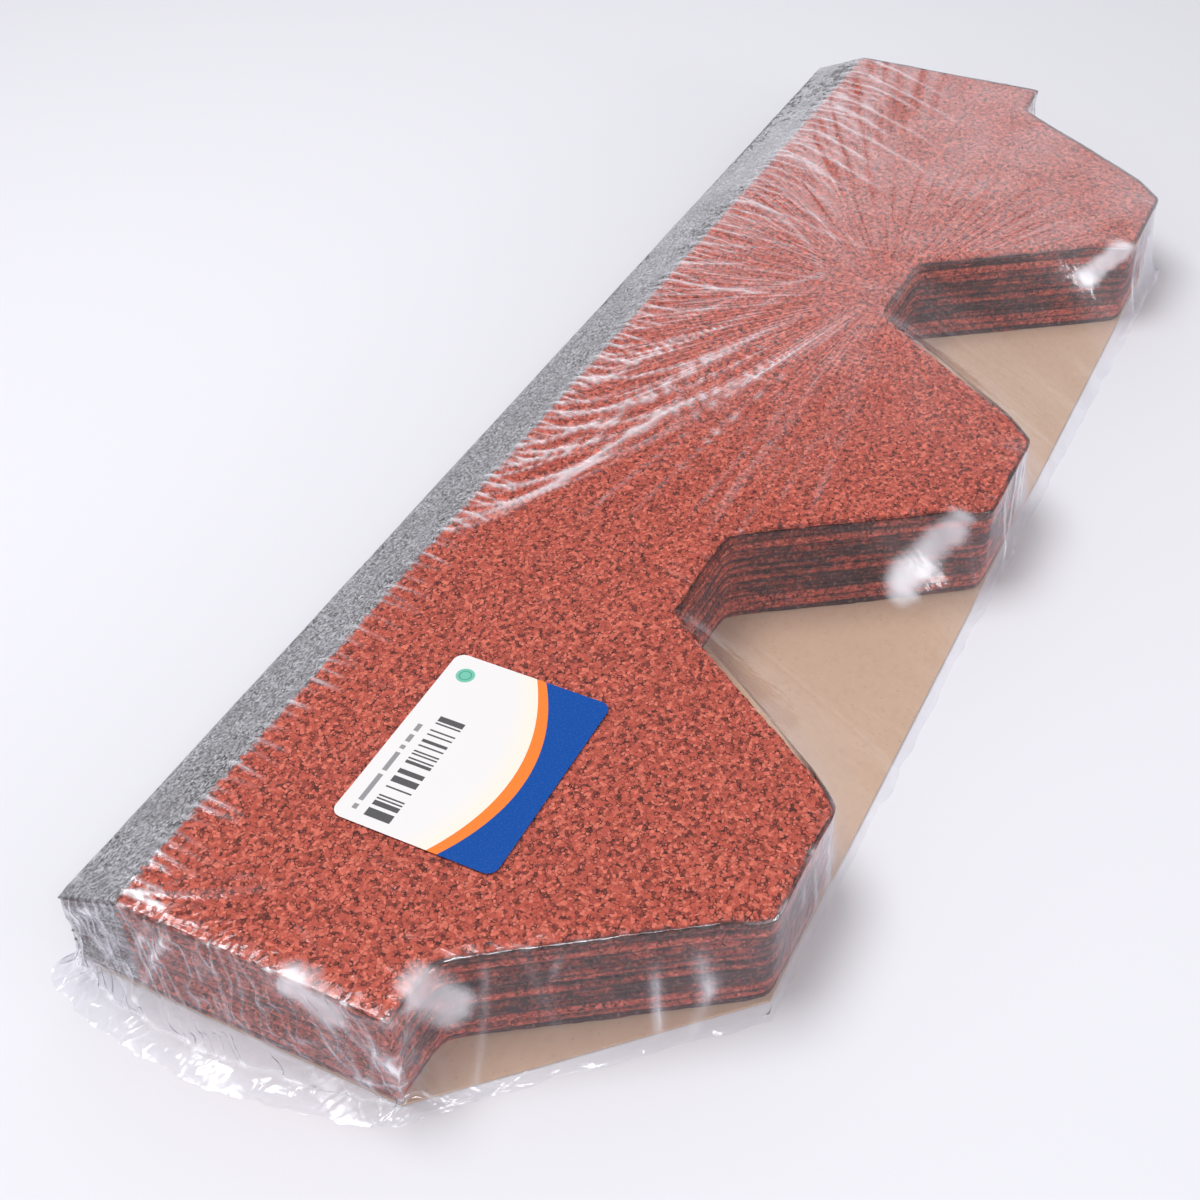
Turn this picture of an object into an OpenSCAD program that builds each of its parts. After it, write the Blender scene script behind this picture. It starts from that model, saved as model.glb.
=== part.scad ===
// Bundle of hexagonal-tab asphalt shingles: strips stacked in face-to-face pairs on a kraft board,
// in a clear shrink wrap of two welded webs of film, with a paper label on top.
// Millimetres. +X runs along the strips, the tabs point to -Y, and +Z is up.
// The origin is the centre of the underside.

/* [Shingle strip] */
// Length of a strip
strip_length = 1000; // [700:1:1300]
// Tabs on a strip
tab_count = 3; // [2:1:4]
// Depth of a tab, from the cutouts' roots to its butt edge
tab_depth = 131; // [90:1:170]
// Length of a tab's straight butt edge
butt_width = 77; // [40:1:110]
// Width of a cutout at its root
root_width = 76; // [40:1:110]
// Depth of the granule-faced band behind the cutouts
face_band = 150; // [100:1:220]
// Depth of the thin headlap behind the granules
headlap_depth = 37; // [20:1:60]
// Thickness of a strip under its granules
strip_thickness = 2.85; // [2.4:0.05:4]
// Thickness of a strip at its back edge
headlap_thickness = 2.1; // [1.4:0.05:2.4]

/* [Stack] */
// Strips in the bundle, an even number because they lie in pairs
strip_count = 22; // [6:2:30]
// Gap between one strip and the next
strip_gap = 0.2; // [0.1:0.05:0.4]
// Largest sideways offset of a strip in the stack
stagger = 0.8; // [0:0.1:2]

/* [Backing board] */
// Thickness of the board
board_thickness = 1.5; // [0.8:0.1:4]
// Gap between the board and what it touches
board_gap = 0.2; // [0.1:0.05:0.4]

/* [Shrink film] */
// Thickness of the film
film_thickness = 0.3; // [0.2:0.05:0.6]
// Gap between the film and the top strip
film_gap = 0.3; // [0.1:0.05:0.6]
// Spread of the film on the floor past the ends of the strips
end_spread = 16; // [6:1:30]
// Spread of the film on the floor past the tabs' butts
front_spread = 6; // [3:1:20]
// Spread of the film on the floor past the headlap
back_spread = 4; // [3:1:20]
// Distance behind the cutouts' roots where the wrap's cut corners start on the floor
corner_setback = 12; // [0:1:14]
// Gap between the two webs of film at their weld
weld_gap = 0.1; // [0.05:0.05:0.2]

/* [Label] */
// Length of the label along the strips
label_length = 126; // [80:1:180]
// Width of the label
label_width = 92; // [60:1:120]
// Thickness of the paper
label_thickness = 0.15; // [0.1:0.05:0.3]
// Radius of the label's corners
label_corner = 6; // [2:1:15]
// Distance from the end of the strips to the label
label_inset = 89; // [40:1:300]
// Distance from the line of the cutouts' roots to the label's middle
label_offset = 43; // [30:1:80]
// Gap between the label and the film
label_gap = 0.1; // [0.05:0.05:0.3]

/* [Hidden] */
$fn = 48;

period = strip_length / tab_count;
half_length = strip_length / 2;
root_y = (tab_depth + front_spread - face_band - headlap_depth - back_spread) / 2;
butt_y = root_y - tab_depth;
band_y = root_y + face_band;
back_y = band_y + headlap_depth;

board_z = film_thickness + board_gap;
stack_z = board_z + board_thickness + board_gap;
face_pitch = strip_thickness + strip_gap;
back_pitch = headlap_thickness + strip_gap;
face_top = stack_z + strip_count * face_pitch - strip_gap;
back_top = stack_z + strip_count * back_pitch - strip_gap;
film_top = face_top + film_gap + film_thickness;

function period_x(tab) = -half_length + tab * period;
function tab_x(tab) = period_x(tab + 0.5);
function mirrored(points) = [for (i = [len(points) - 1:-1:0]) [-points[i][0], points[i][1]]];

// One strip seen from above: a row of tabs in front of a straight band
module strip_outline() {
    half_tab = [[butt_width / 2, butt_y], [(period - root_width) / 2, root_y]];
    tabs = [for (tab = [0:tab_count - 1], point = concat(mirrored(half_tab), half_tab))
        [tab_x(tab) + point[0], point[1]]];
    polygon(concat(
        [[-half_length, back_y], [-half_length, root_y]],
        tabs,
        [[half_length, root_y], [half_length, back_y]]
    ));
}

// The strip at one level of the stack, thinning and dropping towards its back edge
module strip(level) {
    face_z = stack_z + level * face_pitch;
    back_z = stack_z + level * back_pitch;
    drop = (face_z - back_z) * (headlap_depth + stagger) / headlap_depth;
    thinning = (strip_thickness - headlap_thickness) * (headlap_depth + stagger) / headlap_depth;
    section = [
        [butt_y - stagger, face_z],
        [band_y, face_z],
        [back_y + stagger, face_z - drop],
        [back_y + stagger, face_z - drop + strip_thickness - thinning],
        [band_y, face_z + strip_thickness],
        [butt_y - stagger, face_z + strip_thickness],
    ];
    intersection() {
        translate([stagger * sin(137 * level), stagger * sin(71 * level + 40), 0])
            linear_extrude(film_top) strip_outline();
        rotate([90, 0, 90])
            linear_extrude(2 * strip_length, center = true) polygon(section);
    }
}

// Odd levels, so the top strip shows its granules
module shingles_face_up() {
    color("indianred")
        for (level = [1:2:strip_count - 1]) strip(level);
}

// Even levels, each granule face down or against the granules of the strip above
module shingles_face_down() {
    color("dimgray")
        for (level = [0:2:strip_count - 2]) strip(level);
}

// Kraft board as long as the strips, with its front corners cut off towards the end tabs
module backing_board() {
    first_butt = half_length - (period - butt_width) / 2;
    front = [[first_butt, butt_y], [half_length, root_y], [half_length, back_y]];
    color("burlywood")
        translate([0, 0, board_z])
            linear_extrude(board_thickness) polygon(concat(mirrored(front), front));
}

// Corners of the wrap on the floor: square at the back, cut off at the two front corners
function foot_x(grow) = half_length + end_spread + grow;
function front_foot_y(grow) = butt_y - front_spread - grow;
function back_foot_y(grow) = back_y + back_spread + grow;
function corner_foot_y() = root_y + corner_setback;

// Space under the film over one tab, from the given floor up: the tab's own outline on top, and the
// wrap's outline below. Neighbouring tents meet halfway along a cutout, where the film hangs from the
// root to the floor.
module tent(tab, grow, floor_z) {
    left_end = tab == 0;
    right_end = tab == tab_count - 1;
    reach = stagger + film_gap + grow;
    top = face_top + film_gap + grow;
    left = left_end ? -half_length - reach : period_x(tab);
    right = right_end ? half_length + reach : period_x(tab + 1);
    roots = [for (side = [-1, 1]) tab_x(tab) + side * ((period - root_width) / 2 + reach)];
    butts = [for (side = [-1, 1]) tab_x(tab) + side * (butt_width / 2 + reach)];
    left_foot = left_end ? -foot_x(grow) : left;
    right_foot = right_end ? foot_x(grow) : right;
    upper = concat(
        [for (x = [left, roots[0], roots[1], right]) [x, root_y - reach, top]],
        [for (x = butts) [x, butt_y - reach, top]],
        [for (x = [left, right]) [x, band_y, top]],
        [for (x = [left, right]) [x, back_y + reach, back_top + film_gap + grow]]
    );
    lower = [for (z = [floor_z, stack_z + grow], point = [
        [left_foot, back_foot_y(grow)],
        [left_foot, left_end ? corner_foot_y() : front_foot_y(grow)],
        [butts[0], front_foot_y(grow)],
        [butts[1], front_foot_y(grow)],
        [right_foot, right_end ? corner_foot_y() : front_foot_y(grow)],
        [right_foot, back_foot_y(grow)],
    ]) [point[0], point[1], z]];
    points = concat(upper, lower);
    hull() polyhedron(points, [[for (i = [0:len(points) - 1]) i]]);
}

// Web over the top and sides, welded to the lower web along its foot
module film_upper_web() {
    color("lightsteelblue", 0.3)
        difference() {
            for (tab = [0:tab_count - 1]) tent(tab, film_thickness, film_thickness + weld_gap);
            for (tab = [0:tab_count - 1]) tent(tab, 0, 0);
        }
}

// Web under the board
module film_lower_web() {
    grow = film_thickness;
    corner_butt = half_length - (period - butt_width) / 2 + stagger + film_gap + grow;
    front = [
        [corner_butt, front_foot_y(grow)],
        [foot_x(grow), corner_foot_y()],
        [foot_x(grow), back_foot_y(grow)],
    ];
    color("lightsteelblue", 0.3)
        linear_extrude(film_thickness) polygon(concat(mirrored(front), front));
}

// Paper label with round corners, on top of the film
module label() {
    color("white")
        translate([-half_length + label_inset + label_length / 2, root_y + label_offset, film_top + label_gap])
            linear_extrude(label_thickness)
                union() {
                    square([label_length - 2 * label_corner, label_width], center = true);
                    square([label_length, label_width - 2 * label_corner], center = true);
                    for (x = [-1, 1], y = [-1, 1])
                        translate([x * (label_length / 2 - label_corner), y * (label_width / 2 - label_corner)])
                            circle(label_corner);
                }
}

shingles_face_up();
shingles_face_down();
backing_board();
film_upper_web();
film_lower_web();
label();
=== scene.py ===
from math import ceil, cos, pi, radians, sin
from types import SimpleNamespace

import bmesh
import bpy
import numpy as np
from bpy.props import FloatProperty, FloatVectorProperty, IntProperty, PointerProperty
from mathutils import Matrix, Vector


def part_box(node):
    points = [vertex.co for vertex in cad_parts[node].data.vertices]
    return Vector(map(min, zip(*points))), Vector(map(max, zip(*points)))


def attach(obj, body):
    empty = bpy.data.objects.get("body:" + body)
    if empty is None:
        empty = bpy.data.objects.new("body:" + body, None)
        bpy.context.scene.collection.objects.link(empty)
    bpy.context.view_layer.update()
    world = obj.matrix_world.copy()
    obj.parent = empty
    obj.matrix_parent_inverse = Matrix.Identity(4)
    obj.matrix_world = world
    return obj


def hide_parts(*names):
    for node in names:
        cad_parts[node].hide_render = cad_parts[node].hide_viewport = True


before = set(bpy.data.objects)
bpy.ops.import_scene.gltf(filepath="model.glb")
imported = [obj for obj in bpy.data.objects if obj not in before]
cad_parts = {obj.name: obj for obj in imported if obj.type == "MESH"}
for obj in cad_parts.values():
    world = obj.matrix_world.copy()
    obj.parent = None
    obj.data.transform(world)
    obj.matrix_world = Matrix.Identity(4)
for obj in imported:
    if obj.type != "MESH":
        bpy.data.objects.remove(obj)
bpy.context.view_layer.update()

bl_info = {
    "name": "Shingle Bundle",
    "version": (1, 0, 0),
    "blender": (4, 5, 0),
    "location": "View3D > Sidebar > Bundle",
    "description": "Finishes a film-wrapped bundle of hexagonal-tab roof shingles",
    "category": "Add Mesh",
}

MM = 0.001
# Places closer than this count as the same
TOUCH = 1e-6
# Width over which the film's pull rounds the corners of the tabs
CORNER = 0.0055
# How much of the granules shows on the cut edges at each meeting of two granule faces, from the top down
EDGE_SHOW = (0.58, 0.50, 0.98, 0.56, 0.44, 0.62, 0.66, 0.42, 0.46, 0.98, 0.92, 0.40)
# Heights of the rows of points up a strip's cut edge, as shares of its thickness
WALL_ROWS = (0.0, 0.22, 0.5, 0.78, 1.0)
# Height of the film's underside over the floor
FILM_FLOOR = 0.0003
# Height of the film over the top strip
FILM_LIFT = 0.00045
# Dip of the film at the edge of its top
EDGE_DIP = 0.0003
# Rows of quads on the film, over the granule band and over the headlap
FILM_FACE_ROWS, FILM_LAP_ROWS = 62, 10
# Rows of quads down the hanging film, and the row of its seam
SKIRT_ROWS, SEAM_ROW = 34, 28
# Height of a tall fold in the hanging film
FOLD_HEIGHT = 0.0013


# ---- sizes and colours

def size_prop(name, description, default):
    return FloatProperty(name=name, description=description, default=default, unit="LENGTH")


def angle_prop(name, description, degrees):
    return FloatProperty(name=name, description=description, default=radians(degrees), subtype="ANGLE")


def colour_prop(name, description, default):
    return FloatVectorProperty(name=name, description=description, default=default, subtype="COLOR")


class BundleShingles(bpy.types.PropertyGroup):
    """Sizes and colours of the shingle strips"""

    tab_count: IntProperty(name="Tabs", description="Tabs on a strip", default=3, min=2, max=4)
    strip_count: IntProperty(name="Strips", description="Strips in the stack", default=22, min=6, max=30)
    tab_depth: size_prop("Tab depth", "From the cutouts' roots to the butt edge", 0.131)
    butt_width: size_prop("Butt width", "Straight edge at the tip of a tab", 0.077)
    root_width: size_prop("Root width", "Width of a cutout at its root", 0.076)
    face_band: size_prop("Granule band", "Granule face behind the cutouts", 0.150)
    headlap_thickness: size_prop("Headlap thickness", "Thickness at the back edge", 0.0021)
    strip_gap: size_prop("Gap", "Gap between one strip and the next", 0.0002)
    stagger: size_prop("Stagger", "Largest sideways offset of a strip", 0.0008)
    edge_spacing: size_prop("Edge detail", "Spacing of the points along a cut edge", 0.003)
    face_spacing: size_prop("Face detail", "Spacing of the points on the top face", 0.0021)
    granule_size: size_prop("Granule size", "Width of one mineral granule", 0.0019)
    granule_red: colour_prop("Granules", "Usual colour of the granules", (0.455, 0.080, 0.050))
    granule_light: colour_prop("Light granules", "Palest granules", (0.57, 0.135, 0.088))
    granule_dark: colour_prop("Dark granules", "Darkest granules", (0.12, 0.022, 0.015))
    bitumen: colour_prop("Bitumen", "Cut edges and gaps", (0.038, 0.012, 0.011))
    headlap_grey: colour_prop("Headlap", "Sanded headlap", (0.265, 0.26, 0.275))


class BundleFilm(bpy.types.PropertyGroup):
    """Sizes and colours of the shrink film"""

    reach: size_prop("Reach", "Gap from the strips' edges to the film", 0.0014)
    column_spacing: size_prop("Detail", "Spacing of the points across the film", 0.00157)
    crease_height: size_prop("Crease height", "Height of a usual crease", 0.0008)
    near_spread: size_prop("Gathered end", "Spread of the gathered end on the floor", 0.033)
    far_spread: size_prop("Plain end", "Spread of the far end on the floor", 0.022)
    haze: FloatProperty(
        name="Haze", description="Milky scatter of the clear film", default=0.004, min=0, max=1,
        subtype="FACTOR")
    tint: colour_prop("Tint", "Colour of the film's haze", (0.90, 0.89, 0.94))


class BundleBoard(bpy.types.PropertyGroup):
    """Colours of the backing board"""

    kraft: colour_prop("Kraft", "Usual colour of the board", (0.52, 0.35, 0.245))
    fibre: colour_prop("Fibres", "Darker fibres in the board", (0.40, 0.26, 0.17))


class BundleLabel(bpy.types.PropertyGroup):
    """Sizes and colours of the paper label"""

    corner: size_prop("Corner", "Radius of the label's corners", 0.006)
    lift: size_prop("Lift", "How far the paper's waves rise", 0.0003)
    paper: colour_prop("Paper", "Unprinted paper", (0.70, 0.68, 0.68))
    field: colour_prop("Field", "Printed side field", (0.002, 0.060, 0.29))
    arc: colour_prop("Arc", "Printed arc", (0.76, 0.19, 0.03))
    dot: colour_prop("Dot", "Printed dot", (0.06, 0.42, 0.29))


class BundleStage(bpy.types.PropertyGroup):
    """Camera, lights and floor"""

    target: FloatVectorProperty(
        name="Target", description="Point that the camera looks at", subtype="TRANSLATION",
        default=(-0.2136, 0.0132, 0.0691))
    distance: size_prop("Distance", "From the camera to its target", 0.9614)
    azimuth: angle_prop("Azimuth", "Turn of the camera round the bundle", -62.24)
    elevation: angle_prop("Elevation", "Height of the camera above the floor", 41.78)
    roll: angle_prop("Roll", "Tilt of the camera", -1.48)
    lens: FloatProperty(name="Lens", description="Focal length in millimetres", default=51.95)
    floor_colour: colour_prop("Floor", "Colour of the floor", (0.70, 0.695, 0.735))


# ---- shader expressions

class Value:
    """A number or colour in a node tree. Operators on it add Math nodes."""

    def __init__(self, shader, socket):
        self.shader = shader
        self.socket = socket

    def math(self, operation, *others):
        sockets = {index: value for index, value in enumerate((self, *others))}
        return self.shader.node("ShaderNodeMath", {"operation": operation}, sockets)

    def __add__(self, other):
        return self.math("ADD", other)

    def __sub__(self, other):
        return self.math("SUBTRACT", other)

    def __rsub__(self, other):
        return (self * -1).math("ADD", other)

    def __mul__(self, other):
        return self.math("MULTIPLY", other)

    def __truediv__(self, other):
        return self.math("DIVIDE", other)

    def __gt__(self, other):
        return self.math("GREATER_THAN", other)

    def __lt__(self, other):
        return self.math("LESS_THAN", other)

    def clamp(self):
        return self.math("MAXIMUM", 0.0).math("MINIMUM", 1.0)

    __radd__ = __add__
    __rmul__ = __mul__


class Shader:
    """Builds one node tree from expressions"""

    def __init__(self, owner):
        owner.use_nodes = True
        self.tree = owner.node_tree
        self.tree.nodes.clear()

    def node(self, kind, settings=None, sockets=None, output=0):
        """Adds a node, with its settings first and then its sockets' values or links."""
        node = self.tree.nodes.new(kind)
        for key, value in (settings or {}).items():
            if key == "stops":
                while len(node.color_ramp.elements) < len(value):
                    node.color_ramp.elements.new(1.0)
                for element, (position, colour) in zip(node.color_ramp.elements, value):
                    element.position = position
                    element.color = (*colour, 1.0)
            else:
                setattr(node, key, value)
        for key, value in (sockets or {}).items():
            if isinstance(value, Value):
                self.tree.links.new(value.socket, node.inputs[key])
            else:
                node.inputs[key].default_value = value
        return Value(self, node.outputs[output])

    def place(self):
        """The point's own place on the bundle, in metres."""
        return self.node("ShaderNodeTexCoord", output="Object")

    def axes(self, vector):
        split = self.node("ShaderNodeSeparateXYZ", None, {0: vector})
        return [Value(self, split.socket.node.outputs[index]) for index in range(3)]

    def stretch(self, vector, scale):
        return self.node("ShaderNodeVectorMath", {"operation": "MULTIPLY"}, {0: vector, 1: scale})

    def noise(self, vector, scale, detail=1.0, roughness=0.5, output="Fac"):
        """Noise at one scale, or at a scale for each axis."""
        if isinstance(scale, tuple):
            vector, scale = self.stretch(vector, scale), 1.0
        sockets = {"Vector": vector, "Scale": scale, "Detail": detail, "Roughness": roughness}
        return self.node("ShaderNodeTexNoise", None, sockets, output)

    def cells(self, vector, scale, feature="F1", output="Distance"):
        sockets = {"Vector": vector, "Scale": scale}
        return self.node("ShaderNodeTexVoronoi", {"feature": feature}, sockets, output)

    def mix(self, factor, first, second):
        """A colour between two colours."""
        first, second = (c if isinstance(c, Value) else (*c, 1.0) for c in (first, second))
        settings = {"data_type": "RGBA", "clamp_factor": True}
        return self.node("ShaderNodeMix", settings, {0: factor, 6: first, 7: second}, 2)

    def ramp(self, value, stops):
        return self.node("ShaderNodeValToRGB", {"stops": stops}, {0: value})

    def attribute(self, name):
        return self.node("ShaderNodeAttribute", {"attribute_name": name}, output="Fac")

    def bump(self, height, distance, strength=1.0, normal=None):
        sockets = {"Height": height, "Distance": distance, "Strength": strength}
        if normal is not None:
            sockets["Normal"] = normal
        return self.node("ShaderNodeBump", None, sockets)

    def steps(self, value):
        """A random tone for each whole step of a value."""
        return self.node("ShaderNodeTexWhiteNoise", {"noise_dimensions": "1D"}, {"W": value.math("FLOOR")})

    def principled(self, colour, roughness, specular, more):
        sockets = {"Base Color": colour, "Roughness": roughness, "Specular IOR Level": specular, **more}
        return self.node("ShaderNodeBsdfPrincipled", None, sockets)

    def surface(self, closure, kind="ShaderNodeOutputMaterial"):
        """Ends the tree in its output node."""
        end = self.tree.nodes.new(kind)
        self.tree.links.new(closure.socket, end.inputs[0])


def new_material(name):
    material = bpy.data.materials.new(name)
    return material, Shader(material)


def scaled(colour, factor):
    return tuple(min(1.0, channel * factor) for channel in colour)


# ---- materials

def shingle_material(sizes, stack):
    """Red mineral granules on the face, sand on the headlap, and dark bitumen on the cut edges."""
    material, s = new_material("mineral_shingle")
    place = s.place()
    scale = 1 / sizes.granule_size
    wobble = s.noise(place, scale * 0.55)
    bend = s.stretch(s.noise(place, scale * 0.8, output="Color"), (0.9 * MM, 0.9 * MM, 0.9 * MM))
    warped = s.node("ShaderNodeVectorMath", {"operation": "ADD"}, {0: place, 1: bend})
    edge = s.cells(warped, scale, "DISTANCE_TO_EDGE")
    tone = s.axes(s.cells(warped, scale, output="Color"))[0]
    dark, red, light = sizes.granule_dark, sizes.granule_red, sizes.granule_light
    granule = s.ramp(tone, [(0.0, scaled(red, 0.3)), (0.10, scaled(red, 0.6)), (0.22, scaled(red, 0.88)),
                            (0.55, red), (0.85, light), (1.0, scaled(light, 1.2))])
    crack = ((wobble * 0.62 - 0.22) - edge) * 9.0
    face = s.mix(crack.clamp(), granule, scaled(dark, 0.55))

    sand_tone = s.axes(s.cells(place, 900.0, output="Color"))[0]
    grey = sizes.headlap_grey
    shares = ((0.0, 0.16), (0.25, 0.5), (0.5, 0.95), (0.8, 1.3), (1.0, 1.9))
    sand = s.ramp(sand_tone, [(at, scaled(grey, share)) for at, share in shares])
    sand = s.mix((s.noise(place, 60.0, 4.0) - 0.46) * 2.2, sand, scaled(grey, 0.62))
    behind = s.axes(place)[1] - stack.band_y
    headlap = (behind * 500.0 + (s.noise(place, 260.0) - 0.5) * 4.0 + 0.5).clamp()
    mineral = s.mix(headlap, face, sand)

    layered = s.noise(place, (70.0, 70.0, 1500.0))
    dust = s.noise(place, 420.0)
    core = s.mix((layered - 0.46) * 3.0, sizes.bitumen, (0.12, 0.038, 0.032))
    core = s.mix((dust - 0.55) * 3.0, core, (0.25, 0.12, 0.10))
    cover = s.attribute("cover")
    loose = s.noise(place, (170.0, 170.0, 420.0))
    grain = s.noise(place, 620.0)
    shown = ((cover * 1.1 - loose * 0.7 - grain * 0.7 + 0.27) * 2.4).clamp()
    worn = s.mix((1.0 - cover) * 0.7, mineral, scaled(red, 0.40))
    colour = s.mix(shown, core, worn)
    height = edge.math("MINIMUM", 0.35) * shown + dust * 0.25
    normal = s.bump(height, 0.9 * MM, 0.9)
    s.surface(s.principled(colour, 0.82 - dust * 0.15, 0.12, {"Normal": normal}))
    return material


def board_material(colours):
    """Plain kraft board with fine fibres and dark specks."""
    material, s = new_material("kraft_board")
    place = s.place()
    fibres = s.noise(place, (160.0, 260.0, 260.0), 4.0, 0.6)
    cloud = s.noise(place, 14.0, 3.0)
    specks = s.cells(place, 260.0)
    colour = s.mix((fibres - 0.46) * 1.1, colours.kraft, colours.fibre)
    colour = s.mix((cloud - 0.4) * 0.8, colour, scaled(colours.kraft, 1.15))
    colour = s.mix((specks < 0.10) * 0.55, colour, scaled(colours.fibre, 0.35))
    normal = s.bump(fibres, 0.2 * MM, 0.5)
    s.surface(s.principled(colour, 0.78 + fibres * 0.12, 0.3, {"Normal": normal}))
    return material


def film_material(film, pull):
    """Clear film: mostly see-through, with a mirror part that grows at grazing angles and a milky part. The
    milky part also carries painted highlights: glint lines on creases and ridges, white glare patches and a
    sheen towards the far end.
    """
    material, s = new_material("clear_film")
    place = s.place()
    x, y, _ = s.axes(place)
    crease, veil, gloss, crumple, strain = (
        s.attribute(name) for name in ("crease", "veil", "gloss", "crumple", "strain"))
    fine = s.noise(place, (330.0, 90.0, 150.0))
    broad = s.noise(place, 26.0, 2.0)
    slant = s.node("ShaderNodeMapping", None, {"Vector": place, "Rotation": (0.5, 0.0, 0.35)})
    folds = s.noise(slant, (60.0, 120.0, 24.0))
    ridge = (1.0 - ((folds - 0.5) * 13.0).math("ABSOLUTE")).math("MAXIMUM", 0.0) * crumple
    across, along = x - pull[0], y - pull[1]
    fan = s.node("ShaderNodeCombineXYZ", None, {
        0: along.math("ARCTAN2", across) * 36.0,
        1: (across * across + along * along).math("SQRT") * 9.0})
    stripe = (s.noise(fan, 1.0) - 0.5) * strain
    shine = crease + ridge * 0.6
    normal = s.bump(fine + broad * 2.0 + ridge * 2.5 + folds * crumple * 6.0 + stripe * 7.0, 0.00035, 0.6)
    mirror = s.node("ShaderNodeFresnel", None, {"IOR": 1.5, "Normal": normal}) * (gloss + shine * 2.2)
    streaks = (1.0 + stripe * 5.5).clamp() * (1.0 + stripe * 2.0)
    # Haze, and white glint lines painted where creases and ridges shine; the shine also strengthens the
    # mirror
    milk_and_painted_glint = film.haze + veil * (0.1 + broad * 0.8) * streaks * 0.55 + shine.math("POWER", 3.0) * 0.34
    share = (mirror + milk_and_painted_glint).clamp()
    roughness = 0.13 + veil.math("MINIMUM", 0.6) * 0.2
    more = {"Metallic": (mirror / share).clamp(), "Normal": normal}
    skin = s.principled((*film.tint, 1.0), roughness, 0.0, more)
    clear = s.node("ShaderNodeBsdfTransparent", None, {"Color": (0.97, 0.97, 0.98, 1.0)})
    s.surface(s.node("ShaderNodeMixShader", None, {0: share, 1: clear, 2: skin}))
    return material


def label_material(label, low, high):
    """White paper with a printed side field behind an arc, plain bars, ruled dashes and a dot."""
    material, s = new_material("label_paper")
    place = s.place()
    x, y, _ = s.axes(place)
    length, width = high.x - low.x, high.y - low.y
    along = (x - low.x) / length
    across = (high.y - y) / width
    bow = (along - 0.45).math("POWER", 2.0)
    arc = 0.76 - bow * 0.80
    inside = across - arc
    cream = s.mix(((inside + 0.16) * 7.0).clamp(), label.paper, (0.74, 0.69, 0.60))
    colour = s.mix((inside > 0.0) * 1.0, cream, label.arc)
    colour = s.mix((inside > 0.075 - bow * 0.05) * 1.0, colour, label.field)
    bars = (along > 0.05) * (along < 0.64) * (across > 0.17) * (across < 0.33)
    bars = bars * (s.steps(along * 118.0) > 0.47)
    dashes = (along > 0.06) * (along < 0.60) * (across > 0.085) * (across < 0.115)
    dashes = dashes * (s.steps(along * 46.0) > 0.3)
    colour = s.mix(bars * 0.92, colour, (0.03, 0.03, 0.035))
    colour = s.mix(dashes * 0.7, colour, (0.06, 0.06, 0.07))
    radius = (((x - (low.x + 0.89 * length)).math("POWER", 2.0)
               + (y - (high.y - 0.13 * width)).math("POWER", 2.0)).math("SQRT"))
    colour = s.mix((radius < 0.0052) * 0.85, colour, label.dot)
    colour = s.mix((radius < 0.0036) * (radius > 0.0028) * 0.6, colour, scaled(label.dot, 0.5))
    grain = s.noise(place, 900.0, 2.0)
    colour = s.mix((grain - 0.5) * 0.12, colour, (0.75, 0.75, 0.78))
    normal = s.bump(grain, 0.05 * MM, 0.3)
    s.surface(s.principled(colour, 0.42 + grain * 0.08, 0.1, {"Normal": normal}))
    return material


# ---- shapes

def smooth_noise(x, y, cell, seed):
    """Seeded noise from -1 to 1 over a plane, with features about one cell across."""
    size = 64
    table = np.random.default_rng(seed).uniform(-1, 1, (size, size))
    u, v = np.asarray(x) / cell, np.asarray(y) / cell
    i, j = np.floor(u).astype(int), np.floor(v).astype(int)
    a, b = u - i, v - j
    a, b = a * a * (3 - 2 * a), b * b * (3 - 2 * b)
    i0, i1, j0, j1 = i % size, (i + 1) % size, j % size, (j + 1) % size
    return ((table[i0, j0] * (1 - a) + table[i1, j0] * a) * (1 - b)
            + (table[i0, j1] * (1 - a) + table[i1, j1] * a) * b)


def blend_in(value, start, end):
    """0 before start, 1 after end, and smooth between."""
    t = np.clip((np.asarray(value) - start) / (end - start), 0, 1)
    return t * t * (3 - 2 * t)


def add_piece(name, points, faces, material, values=None, sharp=None):
    """Makes one mesh object, with a value at each point for each named attribute."""
    mesh = bpy.data.meshes.new(name)
    mesh.from_pydata(np.asarray(points).tolist(), [], faces)
    for key, value in (values or {}).items():
        attribute = mesh.attributes.new(key, "FLOAT", "POINT")
        attribute.data.foreach_set("value", np.asarray(value, np.float32))
    cut = bmesh.new()
    cut.from_mesh(mesh)
    caps = [face for face in cut.faces if len(face.verts) > 4]
    bmesh.ops.triangulate(cut, faces=caps, ngon_method="BEAUTY")
    cut.to_mesh(mesh)
    cut.free()
    mesh.polygons.foreach_set("use_smooth", np.ones(len(mesh.polygons), bool))
    if sharp is not None:
        mesh.set_sharp_from_angle(angle=sharp)
    mesh.materials.append(material)
    piece = bpy.data.objects.new(name, mesh)
    bpy.context.collection.objects.link(piece)
    return piece


def finish_piece(piece, slot, *nodes):
    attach(piece, "root")
    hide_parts(*nodes)


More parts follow.
